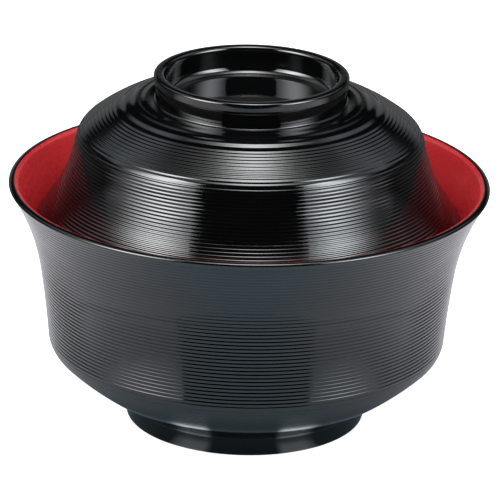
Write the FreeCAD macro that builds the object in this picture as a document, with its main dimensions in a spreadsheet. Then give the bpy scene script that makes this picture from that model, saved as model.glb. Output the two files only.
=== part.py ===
import FreeCAD, Part
import math
import os
import Sketcher

# Lidded rice bowl: a flared round bowl on a low foot ring and a lid that drops inside the bowl's rim, its grip
# ring on top. Both are one-piece mouldings, black outside with fine turned grooves, each with a red lacquer coat
# inside. Millimetres, +Z up, origin at the centre of the foot's underside. Every piece is a turned shape, so each
# is a half section revolved about Z, and the turned grooves are cut from it as a second revolved feature.

V = FreeCAD.Vector
doc = FreeCAD.newDocument("rice_bowl")
sheet = doc.addObject("Spreadsheet::Sheet", "dims")

DIMS = [
    # bowl, outside, from the rim down; the angles are between the surface and the vertical, in degrees
    ("rim_radius", 75.0),
    ("rim_height", 77.6),
    ("rim_outer_round", 0.7),
    ("rim_inner_round", 2.3),
    ("rim_black_angle", 104.0),
    ("flare_angle", 31.8564),
    ("flare_radius", 70.166),
    ("throat_angle", 8.7),
    ("wall_radius", 327.7),
    ("heel_angle", 4.67),
    ("heel_radius", 7.4),
    ("belly_angle", 45.4),
    ("belly_radius", 96.9),
    # bowl, inside
    ("wall_thickness", 2.7),
    ("lacquer", 0.3),
    ("basin_angle", 52.0),
    ("basin_floor_height", 8.4),
    # foot ring
    ("foot_radius", 37.5),
    ("foot_draft", 5.0),
    ("foot_fillet", 1.1),
    ("foot_edge_round", 0.8),
    ("foot_width", 3.1),
    ("foot_inner_round", 0.6),
    ("foot_recess_height", 5.6),
    ("foot_recess_fillet", 1.6),
    # lid, outside, from the grip ring down
    ("overall_height", 112.4),
    ("ring_radius", 30.3),
    ("ring_outer_round", 0.8),
    ("ring_land_outer", 29.5),
    ("ring_land_inner", 27.9),
    ("ring_mouth_radius", 26.9),
    ("ring_inner_round", 1.0),
    ("ring_well_radius", 26.6),
    ("ring_well_fillet", 2.4),
    ("ring_well_height", 104.0),
    ("ring_band_draft", 5.5),
    ("ring_band_foot", 109.0),
    ("ring_band_step", 0.3),
    ("neck_radius", 29.7),
    ("neck_cove", 0.5),
    ("ledge_radius", 15.0),
    ("ledge_end_angle", 68.51),
    ("shoulder_radius", 54.0),
    ("shoulder_end_angle", 51.9095),
    ("knee_radius", 7.5),
    ("knee_end_angle", 10.7944),
    ("skirt_radius", 55.1),
    # lid, inside
    ("lid_thickness", 2.2),
    ("lid_ceiling_height", 101.7),
    ("ceiling_blend", 20.0),
    ("seat_gap", 0.35),
    # turned grooves
    ("groove_tool_radius", 0.85),
    ("groove_depth", 0.12),
    ("groove_pitch_bowl", 1.25),
    ("groove_pitch_shoulder", 1.29),
    ("groove_pitch_skirt", 1.105),
    ("wide_tool_radius", 3.5),
    ("wide_depth", 0.12),
    ("wide_pitch", 3.4),
]
for row, (name, value) in enumerate(DIMS, start=1):
    sheet.set("A%d" % row, name)
    sheet.set("B%d" % row, str(value))
    sheet.setAlias("B%d" % row, name)
doc.recompute()
d = {name: float(sheet.get(name)) for name, _ in DIMS}
rad = math.radians


def polar(c, radius, angle):
    return (c[0] + radius * math.cos(angle), c[1] + radius * math.sin(angle))


def dist(p, q):
    return math.hypot(p[0] - q[0], p[1] - q[1])


class Outline:
    """A closed half section in the sketch plane: x is the radius from the axis, y is the height."""

    def __init__(self, x, y, xe=None, ye=None):
        self.start = (x, y)
        self.here = (x, y)
        self.vertex = [((x, y), xe, ye)]
        self.segs = []

    def line(self, x, y, xe=None, ye=None):
        self.segs.append(("line", self.here, (x, y)))
        self.here = (x, y)
        self.vertex.append((self.here, xe, ye))

    def arc(self, centre, radius, x, y, ccw, re=None, xe=None, ye=None):
        """re binds the radius; "half" marks a half circle, which its two ends already size, so its centre is held."""
        assert abs(dist(centre, self.here) - radius) < 1e-6, (centre, radius, self.here, dist(centre, self.here))
        assert abs(dist(centre, (x, y)) - radius) < 1e-6, (centre, radius, (x, y), dist(centre, (x, y)))
        self.segs.append(("arc", self.here, (x, y), centre, radius, ccw, re))
        self.here = (x, y)
        self.vertex.append((self.here, xe, ye))

    def close(self):
        if dist(self.here, self.start) > 1e-7:
            self.line(*self.start)
        self.vertex.pop()


def plane_of(body, role):
    return [f for f in body.Origin.OriginFeatures if f.Role == role][0]


def draw(body, name, outlines, pinned=True):
    """A sketch on the body's XZ plane. Every corner is held by its radius and height, every arc by its radius; the
    ones that are driving sizes are bound to the sheet."""
    sk = body.newObject("Sketcher::SketchObject", name)
    sk.AttachmentSupport = [(plane_of(body, "XZ_Plane"), "")]
    sk.MapMode = "FlatFace"
    geo, cons, bound = [], [], []
    for o in outlines:
        first = len(geo)
        ends = []
        for s in o.segs:
            if s[0] == "line":
                geo.append(Part.LineSegment(V(s[1][0], s[1][1], 0), V(s[2][0], s[2][1], 0)))
                ends.append((1, 2))
            else:
                _, p, q, c, radius, ccw, re = s
                a, b = (math.atan2(u[1] - c[1], u[0] - c[0]) for u in (p, q))
                if not ccw:
                    a, b = b, a
                while b <= a:
                    b += 2 * math.pi
                geo.append(Part.ArcOfCircle(Part.Circle(V(c[0], c[1], 0), V(0, 0, 1), radius), a, b))
                ends.append((1, 2) if ccw else (2, 1))
                if re == "half":
                    cons.append(Sketcher.Constraint("DistanceX", -1, 1, len(geo) - 1, 3, c[0]))
                else:
                    cons.append(Sketcher.Constraint("Radius", len(geo) - 1, radius))
                    if re:
                        bound.append((len(cons) - 1, re))
        n = len(o.segs)
        for i in range(n):
            j = (i + 1) % n
            cons.append(Sketcher.Constraint("Coincident", first + i, ends[i][1], first + j, ends[j][0]))
        if pinned:
            for i, ((x, y), xe, ye) in enumerate(o.vertex):
                g, p = first + i, ends[i][0]
                if abs(x) < 1e-9:
                    cons.append(Sketcher.Constraint("PointOnObject", g, p, -2))
                else:
                    cons.append(Sketcher.Constraint("DistanceX", -1, 1, g, p, x))
                    if xe:
                        bound.append((len(cons) - 1, xe))
                if abs(y) < 1e-9:
                    cons.append(Sketcher.Constraint("PointOnObject", g, p, -1))
                else:
                    cons.append(Sketcher.Constraint("DistanceY", -1, 1, g, p, y))
                    if ye:
                        bound.append((len(cons) - 1, ye))
    sk.addGeometry(geo, False)
    sk.addConstraint(cons)
    for k, (index, expr) in enumerate(bound):
        cname = "%s_%d" % (name, k)
        sk.renameConstraint(index, cname)
        sk.setExpression("Constraints.%s" % cname, expr)
    doc.recompute()
    return sk


def turned(label, outline):
    body = doc.addObject("PartDesign::Body", label)
    body.Label = label
    sk = draw(body, label + "_section", [outline])
    rev = body.newObject("PartDesign::Revolution", label + "_turned")
    rev.Profile = sk
    rev.ReferenceAxis = (sk, ["V_Axis"])
    rev.Angle = 360.0
    doc.recompute()
    return body


def grooved(body, name, grooves):
    """Cuts the turned grooves: each is a shallow arc of the tool's radius, closed by a chord just off the surface."""
    outlines = []
    for (px, py), (nx, ny), tool, depth, te in grooves:
        off = tool - depth
        lift = 0.04
        half = math.sqrt(tool * tool - (off - lift) ** 2)
        c = (px + nx * off, py + ny * off)
        m = (px + nx * lift, py + ny * lift)
        tx, ty = -ny, nx
        a = (m[0] - tx * half, m[1] - ty * half)
        b = (m[0] + tx * half, m[1] + ty * half)
        o = Outline(a[0], a[1])
        o.arc(c, tool, b[0], b[1], False, re=te)
        o.close()
        # the arc must run through the bottom of the groove
        bottom = (px - nx * depth, py - ny * depth)
        am = math.atan2(bottom[1] - c[1], bottom[0] - c[0])
        a0, a1 = math.atan2(a[1] - c[1], a[0] - c[0]), math.atan2(b[1] - c[1], b[0] - c[0])
        span_cw = (a0 - a1) % (2 * math.pi)
        if (a0 - am) % (2 * math.pi) > span_cw:
            o = Outline(a[0], a[1])
            o.arc(c, tool, b[0], b[1], True, re=te)
            o.close()
        outlines.append(o)
    before = body.Shape.Volume
    sk = draw(body, name + "_lines", outlines, pinned=False)
    gr = body.newObject("PartDesign::Groove", name)
    gr.Profile = sk
    gr.ReferenceAxis = (sk, ["V_Axis"])
    gr.Angle = 360.0
    doc.recompute()
    after = body.Shape.Volume
    print(name, "grooves", len(grooves), "volume", round(before, 1), "->", round(after, 1))
    assert 0 < before - after < 0.06 * before


# ---------------------------------------------------------------- bowl, outside surface
t, coat = d["wall_thickness"], d["lacquer"]
H, RR, rs, rb = d["rim_height"], d["rim_radius"], d["rim_outer_round"], d["rim_inner_round"]
R1, R2, R3, R4 = d["flare_radius"], d["wall_radius"], d["heel_radius"], d["belly_radius"]
a0, a1, a2, a3 = (rad(d[k]) for k in ("flare_angle", "throat_angle", "heel_angle", "belly_angle"))
A, Bq, D = R1 + rs, R1 + t - rb, rb - rs
ab = a0 - math.acos((A * A + Bq * Bq - D * D) / (2 * A * Bq))
Cf = (RR - rs + A * math.cos(a0), H - rb - Bq * math.sin(ab))  # centre of the flare, outside the bowl
Cs = (Cf[0] - A * math.cos(a0), Cf[1] + A * math.sin(a0))  # centre of the rim's outer rounding
Cb = (Cf[0] - Bq * math.cos(ab), Cf[1] + Bq * math.sin(ab))  # centre of the rim's inner rounding
P0 = (Cf[0] - R1 * math.cos(a0), Cf[1] + R1 * math.sin(a0))
P1 = (Cf[0] - R1 * math.cos(a1), Cf[1] + R1 * math.sin(a1))
Cw = (P1[0] + R2 * math.cos(a1), P1[1] - R2 * math.sin(a1))
P2 = (Cw[0] - R2 * math.cos(a2), Cw[1] + R2 * math.sin(a2))
Cc = (P2[0] - R3 * math.cos(a2), P2[1] + R3 * math.sin(a2))
P3 = polar(Cc, R3, -a3)
Cu = (P3[0] - R4 * math.cos(a3), P3[1] + R4 * math.sin(a3))
rim_join = math.atan2(Cs[1] - Cb[1], Cs[0] - Cb[0])
PJ = polar(Cb, rb, rim_join)

# foot ring: outer wall with a little draft, blended into the belly
tau = rad(d["foot_draft"])
rf, re_, ri = d["foot_fillet"], d["foot_edge_round"], d["foot_inner_round"]
L0 = (d["foot_radius"], 0.0)
u = (math.sin(tau), math.cos(tau))
n = (math.cos(tau), -math.sin(tau))
q = (L0[0] + rf * n[0] - Cu[0], L0[1] + rf * n[1] - Cu[1])
bb = q[0] * u[0] + q[1] * u[1]
cc = q[0] ** 2 + q[1] ** 2 - (R4 + rf) ** 2
roots = [-bb + k * math.sqrt(bb * bb - cc) for k in (-1, 1)]
s_ = [s for s in roots if 0 < s < 20][0]
CF = (L0[0] + s_ * u[0] + rf * n[0], L0[1] + s_ * u[1] + rf * n[1])
PF1 = (Cu[0] + (CF[0] - Cu[0]) * R4 / (R4 + rf), Cu[1] + (CF[1] - Cu[1]) * R4 / (R4 + rf))
PF2 = (L0[0] + s_ * u[0], L0[1] + s_ * u[1])
# foot edge rounding, tangent to the wall and the ground plane
xe = L0[0] + re_ * u[0] / u[1] - re_ / u[1]
CE = (L0[0] + (re_ + re_ * math.sin(tau)) * math.tan(tau) - re_ * math.cos(tau), re_)
PE1 = (CE[0] + re_ * math.cos(tau), CE[1] - re_ * math.sin(tau))
fi = d["foot_radius"] - d["foot_width"]
hr, rr = d["foot_recess_height"], d["foot_recess_fillet"]

# ---------------------------------------------------------------- bowl, inside surface
ai = rad(d["basin_angle"])
zf = d["basin_floor_height"]
Pe = (Cu[0] + (R4 - t) * math.cos(ai), Cu[1] - (R4 - t) * math.sin(ai))
Rbl = (Pe[1] - zf) / (1 - math.sin(ai))
Cbl = (Pe[0] - Rbl * math.cos(ai), Pe[1] + Rbl * math.sin(ai))
kr = rad(d["rim_black_angle"])


def inner_corners(k):
    """The joints of the inner surface, a distance k outwards from the finished red surface."""
    return dict(
        rim0=polar(Cb, rb - k, kr),
        rim1=(Cf[0] - (R1 + t - k) * math.cos(ab), Cf[1] + (R1 + t - k) * math.sin(ab)),
        thr=(Cf[0] - (R1 + t - k) * math.cos(a1), Cf[1] + (R1 + t - k) * math.sin(a1)),
        heel=(Cw[0] - (R2 + t - k) * math.cos(a2), Cw[1] + (R2 + t - k) * math.sin(a2)),
        bel=polar(Cc, R3 - t + k, -a3),
        bas=polar(Cu, R4 - t + k, -ai),
        flo=(Cbl[0], zf - k),
    )


K, Q = inner_corners(coat), inner_corners(0.0)

o = Outline(0.0, hr, ye="dims.foot_recess_height")
o.line(fi - rr, hr, ye="dims.foot_recess_height")
o.arc((fi - rr, hr - rr), rr, fi, hr - rr, False, re="dims.foot_recess_fillet", xe="dims.foot_radius - dims.foot_width")
o.line(fi, ri, xe="dims.foot_radius - dims.foot_width", ye="dims.foot_inner_round")
o.arc((fi + ri, ri), ri, fi + ri, 0.0, True, re="dims.foot_inner_round", xe="dims.foot_radius - dims.foot_width + dims.foot_inner_round")
o.line(CE[0], 0.0)
o.arc(CE, re_, PE1[0], PE1[1], True, re="dims.foot_edge_round")
o.line(*PF2)
o.arc(CF, rf, PF1[0], PF1[1], False, re="dims.foot_fillet")
o.arc(Cu, R4, P3[0], P3[1], True, re="dims.belly_radius")
o.arc(Cc, R3, P2[0], P2[1], True, re="dims.heel_radius")
o.arc(Cw, R2, P1[0], P1[1], False, re="dims.wall_radius")
o.arc(Cf, R1, P0[0], P0[1], False, re="dims.flare_radius")
o.arc(Cs, rs, PJ[0], PJ[1], True, re="dims.rim_outer_round")
o.arc(Cb, rb, Q["rim0"][0], Q["rim0"][1], True, re="dims.rim_inner_round")
o.line(*K["rim0"])
o.arc(Cb, rb - coat, K["rim1"][0], K["rim1"][1], True, re="dims.rim_inner_round - dims.lacquer")
o.arc(Cf, R1 + t - coat, K["thr"][0], K["thr"][1], True, re="dims.flare_radius + dims.wall_thickness - dims.lacquer")
o.arc(Cw, R2 + t - coat, K["heel"][0], K["heel"][1], True, re="dims.wall_radius + dims.wall_thickness - dims.lacquer")
o.arc(Cc, R3 - t + coat, K["bel"][0], K["bel"][1], False, re="dims.heel_radius - dims.wall_thickness + dims.lacquer")
o.arc(Cu, R4 - t + coat, K["bas"][0], K["bas"][1], False, re="dims.belly_radius - dims.wall_thickness + dims.lacquer")
o.arc(Cbl, Rbl + coat, K["flo"][0], K["flo"][1], False, ye="dims.basin_floor_height - dims.lacquer")
o.line(0.0, zf - coat, ye="dims.basin_floor_height - dims.lacquer")
o.close()
bowl_body = turned("bowl_body", o)

o = Outline(0.0, zf - coat, ye="dims.basin_floor_height - dims.lacquer")
o.line(K["flo"][0], K["flo"][1], ye="dims.basin_floor_height - dims.lacquer")
o.arc(Cbl, Rbl + coat, K["bas"][0], K["bas"][1], True)
o.arc(Cu, R4 - t + coat, K["bel"][0], K["bel"][1], True, re="dims.belly_radius - dims.wall_thickness + dims.lacquer")
o.arc(Cc, R3 - t + coat, K["heel"][0], K["heel"][1], True, re="dims.heel_radius - dims.wall_thickness + dims.lacquer")
o.arc(Cw, R2 + t - coat, K["thr"][0], K["thr"][1], False, re="dims.wall_radius + dims.wall_thickness - dims.lacquer")
o.arc(Cf, R1 + t - coat, K["rim1"][0], K["rim1"][1], False, re="dims.flare_radius + dims.wall_thickness - dims.lacquer")
o.arc(Cb, rb - coat, K["rim0"][0], K["rim0"][1], False, re="dims.rim_inner_round - dims.lacquer")
o.line(*Q["rim0"])
o.arc(Cb, rb, Q["rim1"][0], Q["rim1"][1], True, re="dims.rim_inner_round")
o.arc(Cf, R1 + t, Q["thr"][0], Q["thr"][1], True, re="dims.flare_radius + dims.wall_thickness")
o.arc(Cw, R2 + t, Q["heel"][0], Q["heel"][1], True, re="dims.wall_radius + dims.wall_thickness")
o.arc(Cc, R3 - t, Q["bel"][0], Q["bel"][1], False, re="dims.heel_radius - dims.wall_thickness")
o.arc(Cu, R4 - t, Q["bas"][0], Q["bas"][1], False, re="dims.belly_radius - dims.wall_thickness")
o.arc(Cbl, Rbl, Q["flo"][0], Q["flo"][1], False, ye="dims.basin_floor_height")
o.line(0.0, zf, ye="dims.basin_floor_height")
o.close()
bowl_lining = turned("bowl_red_lining", o)

# ---------------------------------------------------------------- lid, outside surface
tl = d["lid_thickness"]
Rsh, Rk, Rsk = d["shoulder_radius"], d["knee_radius"], d["skirt_radius"]
b0, b1, b2 = rad(77.413), rad(d["shoulder_end_angle"]), rad(d["knee_end_angle"])
S0 = (29.99, 105.685)  # where the shoulder's curve, carried on inwards, meets the grip ring
Csh = (S0[0] - Rsh * math.cos(b0), S0[1] - Rsh * math.sin(b0))
RL, bl = d["ledge_radius"], rad(d["ledge_end_angle"])
PL = polar(Csh, Rsh, bl)  # inside this the shoulder flattens into a ledge round the neck
CL = polar(PL, -RL, bl)
E1 = polar(Csh, Rsh, b1)
Ck = polar(E1, -Rk, b1)
E2 = polar(Ck, Rk, b2)
Csk = polar(E2, Rsk, b2)  # centre of the skirt's concave sweep, outside the lid


def skirt_point(radius, ang):
    return (Csk[0] - radius * math.cos(ang), Csk[1] - radius * math.sin(ang))


# the lid's edge is a full round that comes to rest on the bowl's flare: find where the skirt must stop
re2 = tl / 2
lo, hi = rad(30.0), rad(48.0)
for _ in range(80):
    mid = (lo + hi) / 2
    gap = dist(skirt_point(Rsk + re2, mid), Cf) - re2 - (R1 + t)
    if gap > d["seat_gap"]:
        lo = mid
    else:
        hi = mid
b3 = (lo + hi) / 2
E3 = skirt_point(Rsk, b3)
Ce = skirt_point(Rsk + re2, b3)
E3i, E3k = skirt_point(Rsk + tl, b3), skirt_point(Rsk + tl - coat, b3)

# grip ring
HT, rg, ro = d["overall_height"], d["ring_radius"], d["ring_outer_round"]
rc = d["neck_cove"]
cx = d["neck_radius"] + rc
CN = (cx, CL[1] + math.sqrt((RL + rc) ** 2 - (cx - CL[0]) ** 2))
N1 = (d["neck_radius"], CN[1])
N2 = (CL[0] + (CN[0] - CL[0]) * RL / (RL + rc), CL[1] + (CN[1] - CL[1]) * RL / (RL + rc))
# the ring's outer band leans in a little towards its foot, where it steps back to the neck
bd, zb = rad(d["ring_band_draft"]), d["ring_band_foot"]
CRO = (rg - ro, HT - ro)
TR = polar(CRO, ro, -bd)
BR = (TR[0] - (TR[1] - zb) * math.tan(bd), zb)
zw, rw, wf = d["ring_well_height"], d["ring_well_radius"], d["ring_well_fillet"]
# the ring's inner wall leans outwards: tangent line between the well fillet and the mouth rounding
rio = d["ring_inner_round"]
CM = (d["ring_land_inner"], HT - rio)
CWf = (rw - wf, zw + wf)
dx, dy = CM[0] - CWf[0], CM[1] - CWf[1]
L = math.hypot(dx, dy)
# the well fillet is on the open side of the wall, the mouth rounding is on the solid side: an inner tangent
base = math.atan2(dy, dx)
nrm = base - math.acos((wf + rio) / L)
W1 = polar(CWf, wf, nrm)
W2 = polar(CM, rio, nrm + math.pi)

# ---------------------------------------------------------------- lid, inside surface
zc, Rcb = d["lid_ceiling_height"], d["ceiling_blend"]


def dome_corners(k):
    """The joints of the inner surface, a distance k outwards from the finished red surface."""
    z = zc + k
    blend = Rcb + k
    inner = Rsh - tl + k
    c = (Csh[0] + math.sqrt((Rsh - tl - Rcb) ** 2 - (zc - Rcb - Csh[1]) ** 2), zc - Rcb)
    top = (c[0], z)
    side = (Csh[0] + (c[0] - Csh[0]) * inner / (Rsh - tl - Rcb), Csh[1] + (c[1] - Csh[1]) * inner / (Rsh - tl - Rcb))
    return dict(c=c, z=z, blend=blend, inner=inner, top=top, side=side, knee=polar(Csh, inner, b1), skirt=polar(Ck, Rk - tl + k, b2))


DK, DQ = dome_corners(coat), dome_corners(0.0)

o = Outline(0.0, DK["z"], ye="dims.lid_ceiling_height + dims.lacquer")
o.line(DK["top"][0], DK["top"][1], ye="dims.lid_ceiling_height + dims.lacquer")
o.arc(DK["c"], DK["blend"], DK["side"][0], DK["side"][1], False, re="dims.ceiling_blend + dims.lacquer")
o.arc(Csh, DK["inner"], DK["knee"][0], DK["knee"][1], False, re="dims.shoulder_radius - dims.lid_thickness + dims.lacquer")
o.arc(Ck, Rk - tl + coat, DK["skirt"][0], DK["skirt"][1], False, re="dims.knee_radius - dims.lid_thickness + dims.lacquer")
o.arc(Csk, Rsk + tl - coat, E3k[0], E3k[1], True, re="dims.skirt_radius + dims.lid_thickness - dims.lacquer")
o.line(*E3i)
o.arc(Ce, re2, E3[0], E3[1], True, re="half")
o.arc(Csk, Rsk, E2[0], E2[1], False, re="dims.skirt_radius")
o.arc(Ck, Rk, E1[0], E1[1], True, re="dims.knee_radius")
o.arc(Csh, Rsh, PL[0], PL[1], True, re="dims.shoulder_radius")
o.arc(CL, RL, N2[0], N2[1], True, re="dims.ledge_radius")
o.arc(CN, rc, N1[0], N1[1], False, re="dims.neck_cove", xe="dims.neck_radius")
o.line(N1[0], zb - d["ring_band_step"], xe="dims.neck_radius", ye="dims.ring_band_foot - dims.ring_band_step")
o.line(BR[0], BR[1], ye="dims.ring_band_foot")
o.line(*TR)
o.arc(CRO, ro, rg - ro, HT, True, re="dims.ring_outer_round", ye="dims.overall_height")
o.line(CM[0], HT, xe="dims.ring_land_inner", ye="dims.overall_height")
o.arc(CM, rio, W2[0], W2[1], True, re="dims.ring_inner_round")
o.line(*W1)
o.arc(CWf, wf, CWf[0], zw, False, re="dims.ring_well_fillet", ye="dims.ring_well_height")
o.line(0.0, zw, ye="dims.ring_well_height")
o.close()
lid_body = turned("lid_body", o)

o = Outline(0.0, DQ["z"], ye="dims.lid_ceiling_height")
o.line(DQ["top"][0], DQ["top"][1], ye="dims.lid_ceiling_height")
o.arc(DQ["c"], DQ["blend"], DQ["side"][0], DQ["side"][1], False, re="dims.ceiling_blend")
o.arc(Csh, DQ["inner"], DQ["knee"][0], DQ["knee"][1], False, re="dims.shoulder_radius - dims.lid_thickness")
o.arc(Ck, Rk - tl, DQ["skirt"][0], DQ["skirt"][1], False, re="dims.knee_radius - dims.lid_thickness")
o.arc(Csk, Rsk + tl, E3i[0], E3i[1], True, re="dims.skirt_radius + dims.lid_thickness")
o.line(*E3k)
o.arc(Csk, Rsk + tl - coat, DK["skirt"][0], DK["skirt"][1], False, re="dims.skirt_radius + dims.lid_thickness - dims.lacquer")
o.arc(Ck, Rk - tl + coat, DK["knee"][0], DK["knee"][1], True, re="dims.knee_radius - dims.lid_thickness + dims.lacquer")
o.arc(Csh, DK["inner"], DK["side"][0], DK["side"][1], True, re="dims.shoulder_radius - dims.lid_thickness + dims.lacquer")
o.arc(DK["c"], DK["blend"], DK["top"][0], DK["top"][1], True, re="dims.ceiling_blend + dims.lacquer")
o.line(0.0, DK["z"], ye="dims.lid_ceiling_height + dims.lacquer")
o.close()
lid_lining = turned("lid_red_lining", o)

# ---------------------------------------------------------------- turned grooves
tool, depth = d["groove_tool_radius"], d["groove_depth"]


def walk(arcs, s):
    """The point and outward normal at arc length s down a chain of arcs (centre, radius, from, to, sign): sign 1
    where the centre is on the axis side, -1 where it is outside."""
    for c, radius, f, g, sign in arcs:
        length = abs(g - f) * radius
        if s <= length:
            a = f + (g - f) * s / length
            if sign > 0:
                return polar(c, radius, a), (math.cos(a), math.sin(a))
            return (c[0] - radius * math.cos(a), c[1] - radius * math.sin(a)), (math.cos(a), math.sin(a))
        s -= length
    return None


# the bowl: from just under the rim, down the wall, round the heel and part of the way to the foot. The surface
# angle below the horizontal is negative where it faces down.
bowl_arcs = [
    (Cf, R1, -a0, -a1, -1),
    (Cw, R2, -a1, -a2, -1),
    (Cc, R3, -a2, -a3, 1),
    (Cu, R4, -a3, -math.asin((Cu[1] - PF1[1]) / R4), 1),
]
anchor = None
s = 0.0
while anchor is None:
    if walk(bowl_arcs, s)[0][1] <= 62.42:
        anchor = s
    s += 0.01
pitch = d["groove_pitch_bowl"]
grooves = []
k = -int(anchor / pitch) + 1
while True:
    s = anchor + k * pitch
    p, nv = walk(bowl_arcs, s)
    if p[0] < 51.5 and p[1] < 20:
        break
    dep = depth
    if p[1] > 63.5:
        dep = 0.5 * depth
    grooves.append((p, nv, tool, dep, "dims.groove_tool_radius"))
    k += 1
grooved(bowl_body, "bowl_turned_lines", grooves)

# the lid: three wide flutes beside the grip ring, fine lines over the shoulder, none on the knee, then fine lines
# down the skirt as far as the plain lip
lid_arcs = [(CL, RL, bl + (b0 - bl) * Rsh / RL, bl, 1), (Csh, Rsh, bl, b1, 1), (Ck, Rk, b1, b2, 1), (Csk, Rsk, b2, b3, -1)]
grooves = []
for k in range(3):
    p, nv = walk(lid_arcs, 4.4 + k * d["wide_pitch"])
    grooves.append((p, nv, d["wide_tool_radius"], d["wide_depth"], "dims.wide_tool_radius"))
for k in range(10):
    p, nv = walk(lid_arcs, 13.55 + k * d["groove_pitch_shoulder"])
    grooves.append((p, nv, tool, depth, "dims.groove_tool_radius"))
for k in range(24):
    p, nv = walk(lid_arcs, 26.86 + k * d["groove_pitch_skirt"])
    grooves.append((p, nv, tool, depth, "dims.groove_tool_radius"))
grooved(lid_body, "lid_turned_lines", grooves)

# ---------------------------------------------------------------- check and write
doc.recompute()
for obj in doc.Objects:
    bad = [s for s in obj.State if s in ("Invalid", "Error")]
    if bad:
        raise RuntimeError("%s is %s" % (obj.Name, bad))
parts = [bowl_body, bowl_lining, lid_body, lid_lining]
os.makedirs("parts", exist_ok=True)
for part in parts:
    part.Placement = FreeCAD.Placement()
doc.recompute()
for part in parts:
    shape = part.Shape
    if shape.isNull() or not shape.isValid() or len(shape.Solids) != 1:
        raise RuntimeError("%s has no single valid solid" % part.Label)
for part in parts:
    shape = part.Shape
    box = shape.BoundBox
    print(part.Label, "volume", round(shape.Volume, 1), "faces", len(shape.Faces), "box", [round(v, 2) for v in (box.XMin, box.XMax, box.ZMin, box.ZMax)])
    shape.exportStep(os.path.join("parts", part.Label + ".step"))
print("skirt ends at", [round(v, 2) for v in E3], "angle", round(math.degrees(b3), 2), "lip centre", [round(v, 2) for v in Ce])
print("heel", [round(v, 2) for v in P2], "belly", [round(v, 2) for v in P3], "foot fillet", [round(v, 2) for v in PF1], "basin", [round(v, 2) for v in Pe], "floor radius", round(Cbl[0], 2), "blend radius", round(Rbl, 2))
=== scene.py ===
"""Lidded rice bowl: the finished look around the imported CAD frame.

Every piece is a turned shape, so each is one closed section swept round the upright axis, with the fine turned
lines in the section itself. Section sizes are millimetres, in the CAD frame (origin under the foot, +Z up).
"""

import math

import bpy
import numpy as np
from mathutils import Matrix, Vector


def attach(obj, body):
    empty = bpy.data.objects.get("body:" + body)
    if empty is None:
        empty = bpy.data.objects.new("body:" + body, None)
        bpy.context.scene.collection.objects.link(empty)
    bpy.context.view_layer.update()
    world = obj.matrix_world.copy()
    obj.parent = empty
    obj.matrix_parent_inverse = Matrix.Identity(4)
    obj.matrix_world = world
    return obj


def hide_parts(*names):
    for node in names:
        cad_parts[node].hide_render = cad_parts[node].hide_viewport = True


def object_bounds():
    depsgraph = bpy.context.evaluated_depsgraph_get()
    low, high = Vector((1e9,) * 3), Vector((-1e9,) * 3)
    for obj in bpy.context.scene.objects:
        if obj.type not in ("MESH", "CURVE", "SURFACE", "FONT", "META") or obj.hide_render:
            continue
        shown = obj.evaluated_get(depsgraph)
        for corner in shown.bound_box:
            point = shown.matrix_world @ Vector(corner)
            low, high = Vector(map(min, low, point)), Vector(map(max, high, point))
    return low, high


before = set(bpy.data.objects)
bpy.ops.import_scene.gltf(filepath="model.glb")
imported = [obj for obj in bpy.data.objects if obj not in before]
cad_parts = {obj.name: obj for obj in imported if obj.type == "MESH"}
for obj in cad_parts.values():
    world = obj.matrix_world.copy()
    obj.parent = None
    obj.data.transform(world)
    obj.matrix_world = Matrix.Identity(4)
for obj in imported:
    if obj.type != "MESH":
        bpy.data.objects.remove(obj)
cad_lo, cad_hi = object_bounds()

# ------------------------------------------------------------------------------------------------ section helpers
rad = math.radians
cos, sin = math.cos, math.sin


def polar(c, r, a):
    return (c[0] + r * cos(a), c[1] + r * sin(a))


def arc(c, r, a, b, n):
    """n steps from angle a to angle b, both ends included."""
    return [polar(c, r, a + (b - a) * i / n) for i in range(n + 1)]


def span(p, q, n):
    return [(p[0] + (q[0] - p[0]) * i / n, p[1] + (q[1] - p[1]) * i / n) for i in range(n + 1)]


def join(*runs):
    out = []
    for run in runs:
        for p in run:
            if not out or math.hypot(p[0] - out[-1][0], p[1] - out[-1][1]) > 1e-5:
                out.append((float(p[0]), float(p[1])))
    return out


def rib_table(steepest, squareness, lean=1.0, n=2048):
    """One turned line as depth against position, from crest to crest: two nearly straight flanks, rounded above and
    below. lean below 1 makes the flank that faces down longer and flatter than the one that faces up. Returns depth
    as a fraction of the pitch."""
    u = (np.arange(n) + 0.5) / n
    down = 1.0 / (1.0 + lean)  # the share of the pitch taken by the flank that faces down
    w = np.where(u < down, 0.5 * u / down, 0.5 + 0.5 * (u - down) / (1.0 - down))
    slope = -math.tan(rad(steepest)) * np.tanh(squareness * np.sin(2 * np.pi * w)) / math.tanh(squareness)
    slope = np.where(u < down, slope * (1.0 - down) / down, slope)
    h = np.concatenate([[0.0], np.cumsum(slope) / n])
    return np.linspace(0, 1, n + 1), h


class Walk:
    """A chain of arcs (centre, radius, from, to, side), walked by arc length. side 1: the centre is on the axis side
    of the wall, -1: it is outside."""

    def __init__(self, arcs):
        self.arcs = arcs
        self.ends = np.cumsum([0.0] + [abs(g - f) * r for _, r, f, g, _ in arcs])
        self.length = self.ends[-1]

    def at(self, s):
        s = min(max(s, 0.0), self.length)
        i = min(int(np.searchsorted(self.ends, s, side="right")) - 1, len(self.arcs) - 1)
        c, r, f, g, side = self.arcs[i]
        a = f + (g - f) * min(1.0, (s - self.ends[i]) / (abs(g - f) * r))
        if side > 0:
            return polar(c, r, a), (cos(a), sin(a))
        return (c[0] - r * cos(a), c[1] - r * sin(a)), (cos(a), sin(a))


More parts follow.
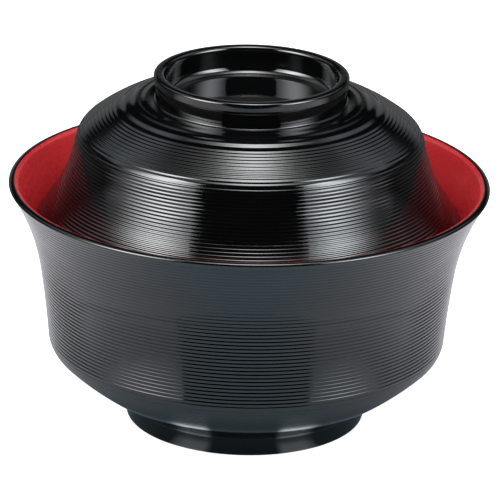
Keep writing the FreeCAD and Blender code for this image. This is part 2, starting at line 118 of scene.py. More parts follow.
# ------------------------------------------------------------------------------------------------ bowl section
T, COAT = 2.7, 0.3
H, RR, RS, RB = 77.6, 75.0, 0.7, 2.3
R1, R2, R3, R4 = 70.166, 327.7, 7.4, 96.9
A0, A1, A2, A3 = rad(31.8564), rad(8.7), rad(4.67), rad(45.4)
_a, _b, _d = R1 + RS, R1 + T - RB, RB - RS
AB = A0 - math.acos((_a * _a + _b * _b - _d * _d) / (2 * _a * _b))
CF = (RR - RS + _a * cos(A0), H - RB - _b * sin(AB))
CS = (CF[0] - _a * cos(A0), CF[1] + _a * sin(A0))
CB = (CF[0] - _b * cos(AB), CF[1] + _b * sin(AB))
P1 = (CF[0] - R1 * cos(A1), CF[1] + R1 * sin(A1))
CW = (P1[0] + R2 * cos(A1), P1[1] - R2 * sin(A1))
P2 = (CW[0] - R2 * cos(A2), CW[1] + R2 * sin(A2))
CC = (P2[0] - R3 * cos(A2), P2[1] + R3 * sin(A2))
P3 = polar(CC, R3, -A3)
CU = (P3[0] - R4 * cos(A3), P3[1] + R4 * sin(A3))
JOIN = math.atan2(CS[1] - CB[1], CS[0] - CB[0])

TAU, RFT, REF, RIF = rad(5.0), 1.1, 0.8, 0.6
FOOT, FOOT_W, RECESS, RECESS_R = 37.5, 3.1, 5.6, 1.6
_u, _n = (sin(TAU), cos(TAU)), (cos(TAU), -sin(TAU))
_q = (FOOT + RFT * _n[0] - CU[0], RFT * _n[1] - CU[1])
_bb = _q[0] * _u[0] + _q[1] * _u[1]
_cc = _q[0] ** 2 + _q[1] ** 2 - (R4 + RFT) ** 2
_s = [s for s in (-_bb + k * math.sqrt(_bb * _bb - _cc) for k in (-1, 1)) if 0 < s < 20][0]
CFT = (FOOT + _s * _u[0] + RFT * _n[0], _s * _u[1] + RFT * _n[1])
PF1 = (CU[0] + (CFT[0] - CU[0]) * R4 / (R4 + RFT), CU[1] + (CFT[1] - CU[1]) * R4 / (R4 + RFT))
PF2 = (FOOT + _s * _u[0], _s * _u[1])
CE = (FOOT + (REF + REF * sin(TAU)) * math.tan(TAU) - REF * cos(TAU), REF)
AF = math.asin((CU[1] - PF1[1]) / R4)
FI = FOOT - FOOT_W

AI, ZF, KR = rad(52.0), 8.4, rad(104.0)
_pe = (CU[0] + (R4 - T) * cos(AI), CU[1] - (R4 - T) * sin(AI))
RBL = (_pe[1] - ZF) / (1 - sin(AI))
CBL = (_pe[0] - RBL * cos(AI), _pe[1] + RBL * sin(AI))

BOWL_PITCH = 1.25
bowl_wall = Walk([(CF, R1, -A0, -A1, -1), (CW, R2, -A1, -A2, -1), (CC, R3, -A2, -A3, 1), (CU, R4, -A3, -AF, 1)])
_s = 0.0
while bowl_wall.at(_s)[0][1] > 62.42:
    _s += 0.01
BOWL_ANCHOR = _s  # a groove's lowest point lies here


def ribbed(walk, s0, s1, anchor, pitch, table, scale, per=9, ease=0.6):
    """Points along a walk from s0 to s1 with turned lines pressed in. scale(s) is their depth factor there."""
    us, hs = table
    n = max(2, int(round((s1 - s0) / pitch * per)))
    out = []
    for i in range(n + 1):
        s = s0 + (s1 - s0) * i / n
        p, nv = walk.at(s)
        u = ((s - anchor) / pitch + 0.5) % 1.0
        k = scale(s) * min(1.0, max(0.0, (s - s0) / ease)) * min(1.0, max(0.0, (s1 - s) / ease))
        h = float(np.interp(u, us, hs)) * pitch * k
        out.append((p[0] + nv[0] * h, p[1] + nv[1] * h))
    return out


def smooth_step(x, a, b):
    t = min(1.0, max(0.0, (x - a) / (b - a)))
    return t * t * (3 - 2 * t)


BOWL_RIB = rib_table(22.0, 1.1)


def bowl_scale(s):
    p, _ = bowl_wall.at(s)
    k = 0.55 + 0.30 * (1 - smooth_step(p[1], 60.0, 67.0)) if p[1] > 60 else 0.85 + 0.30 * (1 - smooth_step(p[1], 24.0, 60.0))
    return k * (0.35 + 0.65 * smooth_step(p[0], 50.0, 56.0) if p[1] < 22 else 1.0)


def bowl_inner(k, fine=1.0):
    """The inner surface, k outwards from the finished red one, from the rim's black edge down to the axis."""
    n = lambda v: max(2, int(v * fine))
    f = lambda r, a: (CF[0] - r * cos(a), CF[1] + r * sin(a))
    w = lambda r, a: (CW[0] - r * cos(a), CW[1] + r * sin(a))
    return join(
        arc(CB, RB - k, KR, math.pi - AB, n(10)),
        [f(R1 + T - k, AB + (A1 - AB) * i / n(26)) for i in range(n(26) + 1)],
        [w(R2 + T - k, A1 + (A2 - A1) * i / n(8)) for i in range(n(8) + 1)],
        arc(CC, R3 - T + k, -A2, -A3, n(10)),
        arc(CU, R4 - T + k, -A3, -AI, n(8)),
        arc(CBL, RBL + k, -AI, -math.pi / 2, n(18)),
        [(CBL[0] * 0.6, ZF - k), (CBL[0] * 0.25, ZF - k), (0.0, ZF - k)],
    )


_end = bowl_wall.length
while bowl_wall.at(_end)[0][0] < 50.6:
    _end -= 0.01
_top = bowl_wall.at(0.0)[0]
bowl_section = join(
    [(0.0, RECESS), (8.0, RECESS), (20.0, RECESS)],
    arc((FI - RECESS_R, RECESS - RECESS_R), RECESS_R, math.pi / 2, 0, 6),
    span((FI, RECESS - RECESS_R), (FI, RIF), 2),
    arc((FI + RIF, RIF), RIF, math.pi, 1.5 * math.pi, 5),
    arc(CE, REF, -math.pi / 2, -TAU, 6),
    span((CE[0] + REF * cos(TAU), CE[1] - REF * sin(TAU)), PF2, 4),
    arc(CFT, RFT, math.pi - TAU, math.atan2(PF1[1] - CFT[1], PF1[0] - CFT[0]) % (2 * math.pi), 6),
    [bowl_wall.at(bowl_wall.length + (_end - bowl_wall.length) * i / 9)[0] for i in range(9)],
    ribbed(bowl_wall, 0.25, _end, BOWL_ANCHOR, BOWL_PITCH, BOWL_RIB, bowl_scale)[::-1],
    [_top],
)
_rim_from = math.atan2(_top[1] - CS[1], _top[0] - CS[0])
bowl_section = join(
    bowl_section,
    arc(CS, RS, _rim_from, JOIN, 7),
    arc(CB, RB, JOIN, KR, 5),
    bowl_inner(COAT, 0.55),
)
bowl_lining_section = join(
    [(0.0, ZF - COAT)],
    bowl_inner(COAT, 0.8)[::-1],
    bowl_inner(0.0, 2.2),
)

# ------------------------------------------------------------------------------------------------ lid section
TL = 2.2
RSH, RK, RSK, RLG = 54.0, 7.5, 55.1, 15.0
B0, BL, B1, B2 = rad(77.413), rad(68.51), rad(51.9095), rad(10.7944)
S0 = (29.99, 105.685)
CSH = (S0[0] - RSH * cos(B0), S0[1] - RSH * sin(B0))
CLG = polar(polar(CSH, RSH, BL), -RLG, BL)
E1 = polar(CSH, RSH, B1)
CK = polar(E1, -RK, B1)
E2 = polar(CK, RK, B2)
CSK = polar(E2, RSK, B2)
RE2 = TL / 2


def skirt(r, a):
    return (CSK[0] - r * cos(a), CSK[1] - r * sin(a))


_lo, _hi = rad(30.0), rad(48.0)
for _ in range(80):
    _mid = (_lo + _hi) / 2
    _c = skirt(RSK + RE2, _mid)
    if math.hypot(_c[0] - CF[0], _c[1] - CF[1]) - RE2 - (R1 + T) > 0.35:
        _lo = _mid
    else:
        _hi = _mid
B3 = (_lo + _hi) / 2
CLIP = skirt(RSK + RE2, B3)

HT, RG, RO, RN, RC = 112.4, 30.3, 0.8, 29.7, 0.5
CN = (RN + RC, CLG[1] + math.sqrt((RLG + RC) ** 2 - (RN + RC - CLG[0]) ** 2))
BAND, BAND_Z, BAND_STEP = rad(5.5), 109.0, 0.3
CRO = (RG - RO, HT - RO)
TR = polar(CRO, RO, -BAND)
BR = (TR[0] - (TR[1] - BAND_Z) * math.tan(BAND), BAND_Z)
ZW, RW, WF, RIO = 104.0, 26.6, 2.4, 1.0
CM = (27.9, HT - RIO)
CWF = (RW - WF, ZW + WF)
_dx, _dy = CM[0] - CWF[0], CM[1] - CWF[1]
WN = math.atan2(_dy, _dx) - math.acos((WF + RIO) / math.hypot(_dx, _dy))
ZC, RCB = 101.7, 20.0
lid_wall = Walk([(CLG, RLG, BL + (B0 - BL) * RSH / RLG, BL, 1), (CSH, RSH, BL, B1, 1), (CK, RK, B1, B2, 1), (CSK, RSK, B2, B3, -1)])
# where the neck's cove runs out on the ledge round it
_n2 = (CLG[0] + (CN[0] - CLG[0]) * RLG / (RLG + RC), CLG[1] + (CN[1] - CLG[1]) * RLG / (RLG + RC))
N2_S = (BL + (B0 - BL) * RSH / RLG - math.atan2(_n2[1] - CLG[1], _n2[0] - CLG[0])) * RLG

LID_RIB = rib_table(12.5, 1.3)
SKIRT_RIB = rib_table(23.0, 1.2, 0.52)
WIDE_RIB = rib_table(9.5, 1.0)
WIDE0, WIDE_N, WIDE_P = 4.4, 3, 3.4
SHOULDER0, SHOULDER_N, SHOULDER_P = 13.55, 10, 1.29
SKIRT0, SKIRT_N, SKIRT_P = 26.86, 24, 1.105


def lid_inner(k, fine=1.0):
    """The lid's inner surface, k outwards from the finished red one, from the axis to the lip."""
    n = lambda v: max(2, int(v * fine))
    z, blend, inner = ZC + k, RCB + k, RSH - TL + k
    c = (CSH[0] + math.sqrt((RSH - TL - RCB) ** 2 - (ZC - RCB - CSH[1]) ** 2), ZC - RCB)
    side = math.atan2(c[1] - CSH[1], c[0] - CSH[0])
    return join(
        [(0.0, z), (c[0] * 0.3, z), (c[0] * 0.7, z)],
        arc(c, blend, math.pi / 2, side, n(10)),
        arc(CSH, inner, side, B1, n(14)),
        arc(CK, RK - TL + k, B1, B2, n(8)),
        [skirt(RSK + TL - k, B2 + (B3 - B2) * i / n(26)) for i in range(n(26) + 1)],
    )


_s_wd = (WIDE0 - 0.5 * WIDE_P, WIDE0 + (WIDE_N - 0.5) * WIDE_P)
_s_sh = (SHOULDER0 - 0.5 * SHOULDER_P, SHOULDER0 + (SHOULDER_N - 0.5) * SHOULDER_P)
_s_sk = (SKIRT0 - 0.5 * SKIRT_P, SKIRT0 + (SKIRT_N - 0.5) * SKIRT_P)
_lip0 = math.atan2(skirt(RSK, B3)[1] - CLIP[1], skirt(RSK, B3)[0] - CLIP[0])
lid_section = join(
    [(0.0, ZW), (7.0, ZW), (15.0, ZW)],
    arc(CWF, WF, -math.pi / 2, WN, 10),
    span(polar(CWF, WF, WN), polar(CM, RIO, WN + math.pi), 8),
    arc(CM, RIO, WN + math.pi, math.pi / 2, 8),
    arc(CRO, RO, math.pi / 2, -BAND, 9),
    span(TR, BR, 3),
    [(RN, BAND_Z - BAND_STEP)],
    span((RN, BAND_Z - BAND_STEP - 0.05), (RN, CN[1]), 4),
    arc(CN, RC, math.pi, math.atan2(_n2[1] - CN[1], _n2[0] - CN[0]) % (2 * math.pi), 8),
    [lid_wall.at(N2_S + (_s_wd[0] - N2_S) * i / 5)[0] for i in range(6)],
    ribbed(lid_wall, _s_wd[0], _s_wd[1], WIDE0, WIDE_P, WIDE_RIB, lambda s: 1.0, per=20, ease=0.8),
    ribbed(lid_wall, _s_sh[0], _s_sh[1], SHOULDER0, SHOULDER_P, LID_RIB, lambda s: 1.0, ease=0.3),
    [lid_wall.at(_s_sh[1] + (_s_sk[0] - _s_sh[1]) * i / 12)[0] for i in range(13)],
    ribbed(lid_wall, _s_sk[0], _s_sk[1], SKIRT0, SKIRT_P, SKIRT_RIB, lambda s: 1.0, ease=0.3),
    [lid_wall.at(_s_sk[1] + (lid_wall.length - _s_sk[1]) * i / 8)[0] for i in range(9)],
    arc(CLIP, RE2, _lip0, _lip0 - math.pi, 12),
    lid_inner(COAT, 0.7)[::-1],
)
lid_lining_section = join(lid_inner(COAT, 0.8), lid_inner(0.0, 2.2)[::-1])

# ------------------------------------------------------------------------------------------------ turned meshes
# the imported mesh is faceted, so its box is a hair under the true circle; the finished pieces stay inside it
FIT = min(cad_hi.x - cad_lo.x, cad_hi.y - cad_lo.y) / 2 / (RR / 1000.0)
FIT = min(1.0, FIT)


def turned(name, section, node, body, material, segments=164):
    pts = [(max(0.0, r) * FIT / 1000.0, z / 1000.0) for r, z in section]
    if math.hypot(pts[0][0] - pts[-1][0], pts[0][1] - pts[-1][1]) < 1e-7:
        pts = pts[:-1]
    verts, rings = [], []
    for r, z in pts:
        if r < 1e-7:
            rings.append([len(verts)])
            verts.append((0.0, 0.0, z))
        else:
            first = len(verts)
            for i in range(segments):
                a = 2 * math.pi * i / segments
                verts.append((r * cos(a), r * sin(a), z))
            rings.append(list(range(first, first + segments)))
    faces = []
    for k in range(len(rings)):
        lo, hi = rings[k], rings[(k + 1) % len(rings)]
        if len(lo) == 1 and len(hi) == 1:
            continue
        for i in range(segments):
            j = (i + 1) % segments
            if len(lo) == 1:
                faces.append((lo[0], hi[j], hi[i]))
            elif len(hi) == 1:
                faces.append((lo[i], lo[j], hi[0]))
            else:
                faces.append((lo[i], lo[j], hi[j], hi[i]))
    area = 0.0
    for k in range(len(pts)):
        a, b = pts[k], pts[(k + 1) % len(pts)]
        area += a[0] * b[1] - a[1] * b[0]
    if area < 0:
        faces = [tuple(reversed(f)) for f in faces]
    me = bpy.data.meshes.new(name)
    me.from_pydata(verts, [], faces)
    me.update()
    me.validate()
    me.shade_smooth()
    ob = bpy.data.objects.new(name, me)
    bpy.context.scene.collection.objects.link(ob)
    me.materials.append(material)
    print(name, "rows", len(pts), "triangles", sum(len(f) - 2 for f in faces))
    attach(ob, body)
    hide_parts(node)
    return ob


# ------------------------------------------------------------------------------------------------ materials
class Nodes:
    def __init__(self, name, world=False):
        self.mat = (bpy.data.worlds if world else bpy.data.materials).new(name)
        self.mat.use_nodes = True
        self.tree = self.mat.node_tree
        self.tree.nodes.clear()
        self.out = self.add("ShaderNodeOutputWorld" if world else "ShaderNodeOutputMaterial")

    def add(self, kind, **values):
        node = self.tree.nodes.new(kind)
        for k, v in values.items():
            setattr(node, k, v)
        return node

    def link(self, a, b):
        self.tree.links.new(a, b)

    def noise(self, vector, scale, detail=2.0, rough=0.5):
        n = self.add("ShaderNodeTexNoise")
        n.inputs["Scale"].default_value = scale
        n.inputs["Detail"].default_value = detail
        n.inputs["Roughness"].default_value = rough
        self.link(vector, n.inputs["Vector"])
        return n.outputs["Fac"]

    def remap(self, value, a, b, c, d):
        n = self.add("ShaderNodeMapRange")
        n.inputs["From Min"].default_value = a
        n.inputs["From Max"].default_value = b
        n.inputs["To Min"].default_value = c
        n.inputs["To Max"].default_value = d
        self.link(value, n.inputs["Value"])
        return n.outputs["Result"]

    def math(self, op, a, b=None):
        n = self.add("ShaderNodeMath", operation=op)
        for i, v in enumerate((a, b)):
            if v is None:
                continue
            if isinstance(v, (int, float)):
                n.inputs[i].default_value = v
            else:
                self.link(v, n.inputs[i])
        return n.outputs[0]

    def mix(self, fac, a, b):
        n = self.add("ShaderNodeMix", data_type="RGBA")
        if isinstance(fac, (int, float)):
            n.inputs[0].default_value = fac
        else:
            self.link(fac, n.inputs[0])
        for i, v in ((6, a), (7, b)):
            if isinstance(v, tuple):
                n.inputs[i].default_value = (*v, 1.0)
            else:
                self.link(v, n.inputs[i])
        return n.outputs[2]

    def bump(self, height, distance, strength, before=None):
        n = self.add("ShaderNodeBump")
        n.inputs["Strength"].default_value = strength
        n.inputs["Distance"].default_value = distance
        self.link(height, n.inputs["Height"])
        if before is not None:
            self.link(before, n.inputs["Normal"])
        return n.outputs["Normal"]


def lacquer(name, dark, light, rough, peel, dust, coat=0.0):
    """Sprayed glossy lacquer: slow colour drift, faint orange peel, hair-fine polishing marks round the axis, a few
    specks of dust and slightly duller patches where it is handled."""
    n = Nodes(name)
    tc = n.add("ShaderNodeTexCoord").outputs["Object"]
    bsdf = n.add("ShaderNodeBsdfPrincipled")
    n.link(bsdf.outputs["BSDF"], n.out.inputs["Surface"])
    drift = n.noise(tc, 38.0, 3.0)
    fine = n.noise(tc, 900.0, 2.0)
    colour = n.mix(n.remap(drift, 0.35, 0.65, 0.0, 1.0), dark, light)
    # dust: the rare peaks of a small cell pattern
    cells = n.add("ShaderNodeTexVoronoi", feature="F1")
    cells.inputs["Scale"].default_value = 150.0
    cells.inputs["Randomness"].default_value = 1.0
    n.link(tc, cells.inputs["Vector"])
    pick = n.add("ShaderNodeTexWhiteNoise", noise_dimensions="3D")
    n.link(cells.outputs["Position"], pick.inputs["Vector"])
    rare = n.math("GREATER_THAN", pick.outputs["Value"], 1.0 - dust)
    near = n.math("LESS_THAN", cells.outputs["Distance"], 0.024)
    speck = n.math("MULTIPLY", rare, near)
    colour = n.mix(n.math("MULTIPLY", speck, 0.7), colour, (0.62, 0.62, 0.60))
    n.link(colour, bsdf.inputs["Base Color"])
    # polishing marks: noise drawn out round the axis, as a function of height and radius only
    sep = n.add("ShaderNodeSeparateXYZ")
    n.link(tc, sep.inputs[0])
    r2 = n.math("ADD", n.math("MULTIPLY", sep.outputs["X"], sep.outputs["X"]), n.math("MULTIPLY", sep.outputs["Y"], sep.outputs["Y"]))
    r = n.math("SQRT", r2)
    comb = n.add("ShaderNodeCombineXYZ")
    n.link(n.math("MULTIPLY", r, 9000.0), comb.inputs["X"])
    n.link(n.math("MULTIPLY", sep.outputs["Z"], 9000.0), comb.inputs["Y"])
    n.link(n.noise(tc, 14.0, 1.0), comb.inputs["Z"])
    lines = n.add("ShaderNodeTexNoise")
    lines.inputs["Scale"].default_value = 1.0
    lines.inputs["Detail"].default_value = 1.0
    n.link(comb.outputs["Vector"], lines.inputs["Vector"])
    handled = n.noise(tc, 22.0, 4.0, 0.6)
    roughness = n.math("ADD", n.remap(handled, 0.4, 0.75, rough, rough * 1.6), n.remap(fine, 0.3, 0.7, 0.0, rough * 0.25))
    roughness = n.math("ADD", roughness, n.remap(lines.outputs["Fac"], 0.3, 0.8, 0.0, rough * 0.35))
    roughness = n.math("ADD", roughness, n.math("MULTIPLY", speck, 0.5))
    n.link(roughness, bsdf.inputs["Roughness"])
    orange = n.noise(tc, 420.0, 2.0, 0.45)
    nb = n.bump(orange, 0.0004, peel)
    nb = n.bump(lines.outputs["Fac"], 0.00002, peel * 0.6, nb)
    nb = n.bump(speck, 0.00012, 0.6, nb)
    n.link(nb, bsdf.inputs["Normal"])
    bsdf.inputs["IOR"].default_value = 1.5
    bsdf.inputs["Coat Weight"].default_value = coat
    bsdf.inputs["Coat Roughness"].default_value = 0.03
    bsdf.inputs["Coat IOR"].default_value = 1.5
    return n.mat


black_bowl = lacquer("black_lacquer_bowl", (0.0028, 0.0030, 0.0034), (0.0044, 0.0046, 0.0050), 0.055, 0.035, 0.010)
black_lid = lacquer("black_lacquer_lid", (0.0022, 0.0024, 0.0027), (0.0036, 0.0038, 0.0042), 0.045, 0.030, 0.016)
red_bowl = lacquer("red_lacquer_bowl", (0.760, 0.0270, 0.0340), (0.850, 0.0350, 0.0430), 0.20, 0.045, 0.006)
red_lid = lacquer("red_lacquer_lid", (0.760, 0.0270, 0.0340), (0.850, 0.0350, 0.0430), 0.20, 0.045, 0.006)

turned("bowl_black_moulding", bowl_section, "bowl_body", "bowl", black_bowl)
turned("bowl_red_coat", bowl_lining_section, "bowl_red_lining", "bowl", red_bowl)
turned("lid_black_moulding", lid_section, "lid_body", "lid", black_lid)
turned("lid_red_coat", lid_lining_section, "lid_red_lining", "lid", red_lid)

# ------------------------------------------------------------------------------------------------ stage
LEFT, RIGHT, TOP, SIDE_WALL = 19.5, 16.5, 13.0, 0.45


def inside(n, v, lo, hi, soft):
    """1 where v lies between lo and hi, with soft edges."""
    up = n.remap(v, lo - soft, lo + soft, 0.0, 1.0)
    down = n.remap(v, hi - soft, hi + soft, 1.0, 0.0)
    return n.math("MULTIPLY", up, down)


def bell(n, v, centre, width):
    x = n.math("DIVIDE", n.math("SUBTRACT", v, centre), width)
    return n.math("EXPONENT", n.math("MULTIPLY", n.math("MULTIPLY", x, x), -0.5))


def lobe(n, sep, azimuth):
    """Tangent coordinates of a direction round an upright softbox at this azimuth (0 in front, + to the right), and
    whether the direction is on its side."""
    a = rad(azimuth)
    fx, fy, gx, gy = sin(a), -cos(a), cos(a), sin(a)
    along = n.math("ADD", n.math("MULTIPLY", sep.outputs["X"], fx), n.math("MULTIPLY", sep.outputs["Y"], fy))
    across = n.math("ADD", n.math("MULTIPLY", sep.outputs["X"], gx), n.math("MULTIPLY", sep.outputs["Y"], gy))
    near = n.math("MAXIMUM", along, 0.001)
    return n.math("DIVIDE", across, near), n.math("DIVIDE", sep.outputs["Z"], near), n.math("GREATER_THAN", along, 0.02)


FLOOR_CUT = 0.240  # in front of here the floor is painted dark for the gloss only, a painted dark room beyond a pale table top
fm = Nodes("pale_floor")
_dif = fm.add("ShaderNodeBsdfDiffuse")
_dif.inputs["Color"].default_value = (0.90, 0.90, 0.90, 1.0)
_lift = fm.add("ShaderNodeEmission")
_lift.inputs["Color"].default_value = (1, 1, 1, 1)
_lift.inputs["Strength"].default_value = 0.92
_seen = fm.add("ShaderNodeAddShader")
fm.link(_dif.outputs[0], _seen.inputs[0])
fm.link(_lift.outputs[0], _seen.inputs[1])
_path = fm.add("ShaderNodeLightPath")
_sep = fm.add("ShaderNodeSeparateXYZ")
fm.link(fm.add("ShaderNodeTexCoord").outputs["Object"], _sep.inputs[0])
_beyond = fm.remap(_sep.outputs["Y"], -FLOOR_CUT - 0.006, -FLOOR_CUT + 0.006, 1.0, 0.0)
_ratio = fm.math("DIVIDE", fm.math("ABSOLUTE", _sep.outputs["X"]), fm.math("MAXIMUM", fm.math("ABSOLUTE", _sep.outputs["Y"]), 0.01))
# painted dark: a wedge of floor in front, towards the camera, coloured near black where only the gloss sees it
_painted_dark = fm.math("MULTIPLY", _beyond, fm.remap(_ratio, 0.66, 0.72, 1.0, 0.0))
# what the gloss sees of it is painted: a little cool, painted shade under the bowl and round the foot, a painted glow
# brighter out towards the two side softboxes, and painted dark rings further off and behind
_out = fm.remap(fm.math("ABSOLUTE", _sep.outputs["X"]), 0.06, 0.30, 0.0, 1.0)
_tone = fm.remap(fm.math("ABSOLUTE", _sep.outputs["X"]), 0.03, 0.11, 0.0, 1.0)
_far = fm.math("SQRT", fm.math("ADD", fm.math("MULTIPLY", _sep.outputs["X"], _sep.outputs["X"]), fm.math("MULTIPLY", _sep.outputs["Y"], _sep.outputs["Y"])))
# painted dark rings further off and behind the bowl, seen only by the gloss
_painted_dark = fm.math("MAXIMUM", _painted_dark, fm.math("MULTIPLY", fm.remap(_far, 0.300, 0.318, 0.0, 0.97), fm.remap(_far, 0.375, 0.390, 1.0, 0.0)))
_painted_dark = fm.math("MAXIMUM", _painted_dark, fm.remap(_far, 0.42, 0.60, 0.0, 0.70))
_behind = fm.remap(_sep.outputs["Y"], -0.02, 0.06, 0.0, 1.0)
_painted_dark = fm.math("MAXIMUM", _painted_dark, fm.math("MULTIPLY", _behind, fm.remap(_far, 0.185, 0.235, 0.0, 0.93)))
# painted shade on the floor round the foot, under the bowl, seen only by the gloss
_painted_dark = fm.math("MAXIMUM", _painted_dark, fm.remap(_far, 0.050, 0.080, 0.62, 0.0))
_painted_gloss_floor = fm.add("ShaderNodeBsdfDiffuse")
fm.link(fm.mix(_painted_dark, fm.mix(_tone, (0.68, 0.83, 0.94), (0.90, 0.88, 0.92)), (0.01, 0.01, 0.01)), _painted_gloss_floor.inputs["Color"])
# painted light: the floor glows for the gloss, brighter out towards the side softboxes, in place of the light those
# softboxes would throw on it
_painted_glow = fm.add("ShaderNodeEmission")
fm.link(fm.mix(_tone, (0.60, 0.90, 1.10), (0.98, 0.97, 1.02)), _painted_glow.inputs["Color"])
_amount = fm.math("ADD", fm.remap(_out, 0.0, 1.0, 0.24, 1.05), fm.math("MULTIPLY", _behind, 0.02))
fm.link(fm.math("MULTIPLY", fm.remap(_painted_dark, 0.0, 1.0, 1.0, 0.0), _amount), _painted_glow.inputs["Strength"])
# painted highlight: two glowing wedges on the floor just round the foot, to either side, which the foot mirrors as
# bright patches
_painted_sheen = fm.add("ShaderNodeEmission")
_painted_sheen.inputs["Color"].default_value = (0.86, 0.94, 1.0, 1.0)
_painted_glint_wedge = fm.math("MULTIPLY", fm.remap(_ratio, 0.30, 0.38, 0.0, 1.0), fm.remap(_ratio, 0.62, 0.85, 1.0, 0.0))
fm.link(fm.math("MULTIPLY", fm.math("MULTIPLY", _painted_glint_wedge, fm.remap(_far, 0.0420, 0.0455, 1.0, 0.0)), 1.30), _painted_sheen.inputs["Strength"])
_both = fm.add("ShaderNodeAddShader")
fm.link(_painted_gloss_floor.outputs[0], _both.inputs[0])
fm.link(_painted_glow.outputs[0], _both.inputs[1])
_glossed = fm.add("ShaderNodeAddShader")
fm.link(_both.outputs[0], _glossed.inputs[0])
fm.link(_painted_sheen.outputs[0], _glossed.inputs[1])
_pick = fm.add("ShaderNodeMixShader")
fm.link(_path.outputs["Is Camera Ray"], _pick.inputs[0])
fm.link(_glossed.outputs[0], _pick.inputs[1])
fm.link(_seen.outputs[0], _pick.inputs[2])
# seen from underneath the table top is clear, so the foot can be looked at
_clear = fm.add("ShaderNodeBsdfTransparent")
_side = fm.add("ShaderNodeMixShader")
fm.link(fm.add("ShaderNodeNewGeometry").outputs["Backfacing"], _side.inputs[0])
fm.link(_pick.outputs[0], _side.inputs[1])
fm.link(_clear.outputs[0], _side.inputs[2])
fm.link(_side.outputs[0], fm.out.inputs["Surface"])
me = bpy.data.meshes.new("floor")
me.from_pydata([(-4, -4, 0), (4, -4, 0), (4, 4, 0), (-4, 4, 0)], [], [(0, 1, 2, 3)])
me.materials.append(fm.mat)
floor = bpy.data.objects.new("floor", me)
floor.location = (0, 0, -0.00005)
bpy.context.scene.collection.objects.link(floor)

# the room that the gloss sees: a tall softbox on each side, one overhead, a pale sweep behind, dark elsewhere
wn = Nodes("studio", world=True)
bpy.context.scene.world = wn.mat
_dir = wn.add("ShaderNodeTexCoord").outputs["Generated"]
ws = wn.add("ShaderNodeSeparateXYZ")
wn.link(_dir, ws.inputs[0])
parts = []


def light_patch(strength, colour, *factors):
    f = factors[0]
    for g in factors[1:]:
        f = wn.math("MULTIPLY", f, g)
    f = wn.math("MULTIPLY", f, strength)
    vec = wn.add("ShaderNodeVectorMath", operation="SCALE")
    vec.inputs[0].default_value = colour
    wn.link(f, vec.inputs["Scale"])
    parts.append(vec.outputs[0])


u, v, ok = lobe(wn, ws, -57)
light_patch(LEFT, (0.97, 0.99, 1.0), bell(wn, u, -0.07, 0.27), wn.remap(v, 0.03, 0.29, 0.05, 1.0), inside(wn, v, -0.10, 1.12, 0.02), wn.math("LESS_THAN", u, 0.414), ok)
u, v, ok = lobe(wn, ws, 57)
light_patch(RIGHT, (0.90, 0.97, 1.0), bell(wn, u, 0.03, 0.22), wn.remap(v, 0.03, 0.29, 0.05, 1.0), inside(wn, v, -0.10, 1.12, 0.02), wn.math("GREATER_THAN", u, -0.384), ok)
zz = wn.math("MAXIMUM", ws.outputs["Z"], 0.001)
ux, vy = wn.math("DIVIDE", ws.outputs["X"], zz), wn.math("DIVIDE", ws.outputs["Y"], zz)
above = wn.math("GREATER_THAN", ws.outputs["Z"], 0.05)
light_patch(TOP, (0.97, 0.98, 0.99), wn.math("ADD", bell(wn, ux, 0.03, 0.14), 0.06), inside(wn, vy, -0.38, 0.30, 0.02), inside(wn, ux, -0.5, 0.55, 0.05), above)
light_patch(SIDE_WALL, (0.96, 0.98, 1.0), inside(wn, wn.math("ABSOLUTE", ux), 0.45, 2.2, 0.15), inside(wn, vy, -0.6, 0.75, 0.15), above)
# the pale sweep behind, and the studio walls to either side behind the bowl
round_back = wn.math("DIVIDE", wn.math("ABSOLUTE", ws.outputs["X"]), wn.math("MAXIMUM", ws.outputs["Y"], 0.001))
back = wn.remap(ws.outputs["Y"], 0.1, 0.5, 0.0, 1.0)
light_patch(0.28, (0.95, 0.98, 1.0), back, wn.remap(ws.outputs["Z"], 0.27, 0.33, 1.0, 0.0), wn.remap(round_back, 0.45, 0.75, 1.0, 0.15))
light_patch(0.7, (0.86, 0.97, 1.06), wn.remap(ws.outputs["Y"], 0.10, 0.25, 0.0, 1.0), wn.remap(round_back, 0.45, 0.8, 0.0, 1.0), inside(wn, ws.outputs["Z"], 0.42, 0.86, 0.06))
total = parts[0]
for p in parts[1:]:
    add = wn.add("ShaderNodeVectorMath", operation="ADD")
    wn.link(total, add.inputs[0])
    wn.link(p, add.inputs[1])
    total = add.outputs[0]
w_gloss, w_seen, w_soft = (wn.add("ShaderNodeBackground") for _ in range(3))
wn.link(total, w_gloss.inputs["Color"])
w_gloss.inputs["Strength"].default_value = 1.0
w_seen.inputs["Color"].default_value = (1, 1, 1, 1)
w_seen.inputs["Strength"].default_value = 1.0
w_soft.inputs["Color"].default_value = (0.97, 0.985, 1.0, 1)
w_soft.inputs["Strength"].default_value = 0.20
_lp = wn.add("ShaderNodeLightPath")
_m1, _m2 = wn.add("ShaderNodeMixShader"), wn.add("ShaderNodeMixShader")
wn.link(_lp.outputs["Is Glossy Ray"], _m1.inputs[0])
wn.link(w_soft.outputs[0], _m1.inputs[1])
wn.link(w_gloss.outputs[0], _m1.inputs[2])
wn.link(_lp.outputs["Is Camera Ray"], _m2.inputs[0])
wn.link(_m1.outputs[0], _m2.inputs[1])
wn.link(w_seen.outputs[0], _m2.inputs[2])
wn.link(_m2.outputs[0], wn.out.inputs["Surface"])


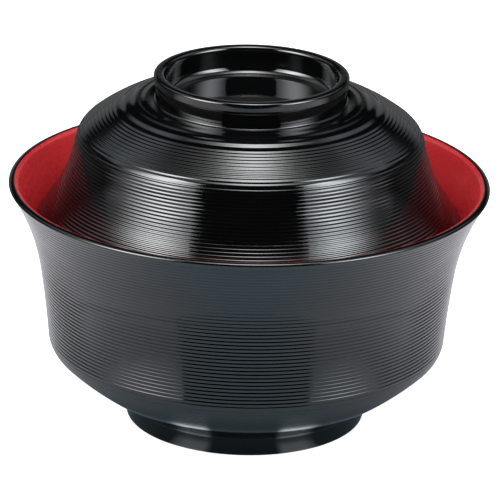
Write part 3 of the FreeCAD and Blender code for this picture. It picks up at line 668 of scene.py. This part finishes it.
def soft_light(name, at, aim, width, height, radiance, colour=(1, 1, 1)):
    """A plain rectangular soft light of an even radiance, facing aim. It lights what is matt; the gloss sees the room."""
    data = bpy.data.lights.new(name, "AREA")
    data.shape = "RECTANGLE"
    data.size, data.size_y = width, height
    data.energy = radiance * width * height * math.pi
    data.color = colour
    ob = bpy.data.objects.new(name, data)
    ob.location = at
    ob.rotation_mode = "QUATERNION"
    ob.rotation_quaternion = (Vector(aim) - Vector(at)).to_track_quat("-Z", "Y")
    ob.visible_camera = False
    ob.visible_glossy = False
    bpy.context.scene.collection.objects.link(ob)
    return ob


soft_light("overhead", (0.0, -0.45, 1.30), (0, 0.0, 0.0), 1.1, 1.1, 2.9, (1.0, 0.99, 0.975))
for side in (-1, 1):
    a = rad(60)
    soft_light("side_%d" % (side > 0), (side * 1.5 * sin(a), -1.5 * cos(a), 0.85), (0, 0, 0.08), 1.1, 1.3, 1.5, (0.97, 0.985, 1.0))
    soft_light("rear_%d" % (side > 0), (side * 1.2, 1.3, 0.9), (0, 0, 0.05), 1.0, 1.0, 0.25)

# ------------------------------------------------------------------------------------------------ camera
TH, AL, RO_ = rad(20.49), rad(0.03), rad(1.24)
fw = Vector((sin(AL) * cos(TH), cos(AL) * cos(TH), -sin(TH)))
rt = Vector((cos(AL), -sin(AL), 0.0))
up = rt.cross(fw)
rt2 = cos(RO_) * rt + sin(RO_) * up
up2 = -sin(RO_) * rt + cos(RO_) * up
cam_data = bpy.data.cameras.new("camera")
cam = bpy.data.objects.new("camera", cam_data)
bpy.context.scene.collection.objects.link(cam)
cam.matrix_world = Matrix(
    (
        (rt2.x, up2.x, -fw.x, 0.0),
        (rt2.y, up2.y, -fw.y, -1.211),
        (rt2.z, up2.z, -fw.z, 0.5067),
        (0, 0, 0, 1),
    )
)
cam_data.sensor_width = 36.0
cam_data.lens = 4120.0 / 500.0 * 36.0
cam_data.clip_start, cam_data.clip_end = 0.01, 50.0
cam_data.dof.use_dof = False
bpy.context.scene.camera = cam
bpy.context.scene.view_settings.view_transform = "Standard"
